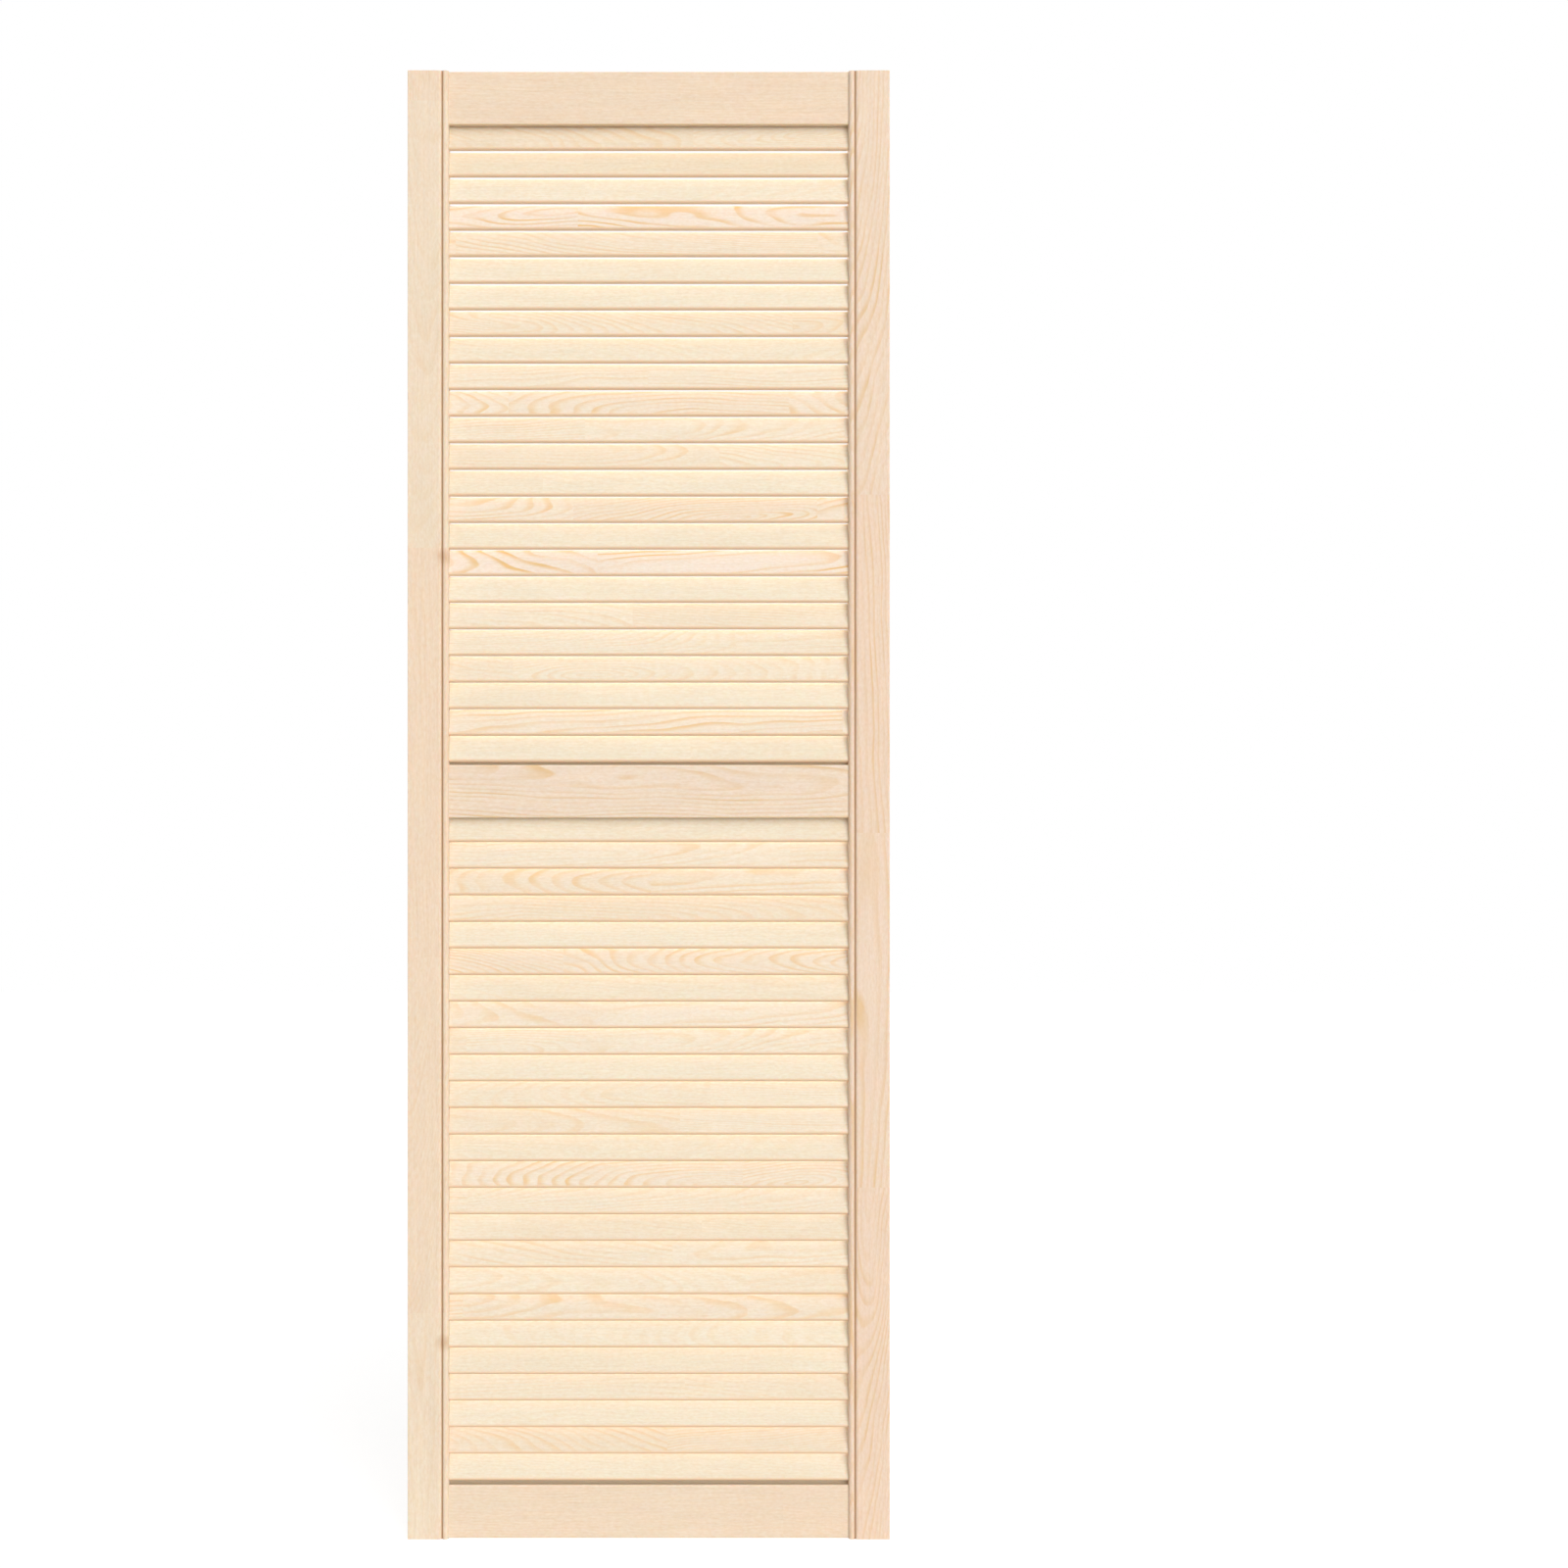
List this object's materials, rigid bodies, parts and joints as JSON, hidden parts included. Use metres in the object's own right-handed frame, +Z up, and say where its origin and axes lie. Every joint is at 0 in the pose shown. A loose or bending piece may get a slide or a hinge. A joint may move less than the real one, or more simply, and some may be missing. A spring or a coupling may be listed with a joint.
{
  "type": "louvred door leaf",
  "caption": "Tall pine louvred door leaf: stiles with a beaded inner edge, plain recessed rails and fixed sloping slats housed in the stiles; hangs on its edge in a cupboard opening.",
  "frame": {"origin": "foot of the left stile's outer edge, the edge the leaf is hung on, at mid thickness", "axes": "+X across the leaf to the right seen from the front, +Y from front to back, +Z up"},
  "size_m": [0.494, 0.02, 1.505],
  "materials": {
    "stile_pine": "bare sanded pine",
    "rail_pine": "bare sanded pine",
    "slat_pine": "bare sanded pine"
  },
  "bodies": {
    "root": {"left_stile": "stile_pine", "right_stile": "stile_pine", "bottom_rail": "rail_pine", "middle_rail": "rail_pine", "top_rail": "rail_pine", "lower_slat_01": "slat_pine", "lower_slat_02": "slat_pine", "lower_slat_03": "slat_pine", "lower_slat_04": "slat_pine", "lower_slat_05": "slat_pine", "lower_slat_06": "slat_pine", "lower_slat_07": "slat_pine", "lower_slat_08": "slat_pine", "lower_slat_09": "slat_pine", "lower_slat_10": "slat_pine", "lower_slat_11": "slat_pine", "lower_slat_12": "slat_pine", "lower_slat_13": "slat_pine", "lower_slat_14": "slat_pine", "lower_slat_15": "slat_pine", "lower_slat_16": "slat_pine", "lower_slat_17": "slat_pine", "lower_slat_18": "slat_pine", "lower_slat_19": "slat_pine", "lower_slat_20": "slat_pine", "lower_slat_21": "slat_pine", "lower_slat_22": "slat_pine", "lower_slat_23": "slat_pine", "lower_slat_24": "slat_pine", "lower_slat_25": "slat_pine", "upper_slat_01": "slat_pine", "upper_slat_02": "slat_pine", "upper_slat_03": "slat_pine", "upper_slat_04": "slat_pine", "upper_slat_05": "slat_pine", "upper_slat_06": "slat_pine", "upper_slat_07": "slat_pine", "upper_slat_08": "slat_pine", "upper_slat_09": "slat_pine", "upper_slat_10": "slat_pine", "upper_slat_11": "slat_pine", "upper_slat_12": "slat_pine", "upper_slat_13": "slat_pine", "upper_slat_14": "slat_pine", "upper_slat_15": "slat_pine", "upper_slat_16": "slat_pine", "upper_slat_17": "slat_pine", "upper_slat_18": "slat_pine", "upper_slat_19": "slat_pine", "upper_slat_20": "slat_pine", "upper_slat_21": "slat_pine", "upper_slat_22": "slat_pine", "upper_slat_23": "slat_pine", "upper_slat_24": "slat_pine"}
  },
  "joints": []
}
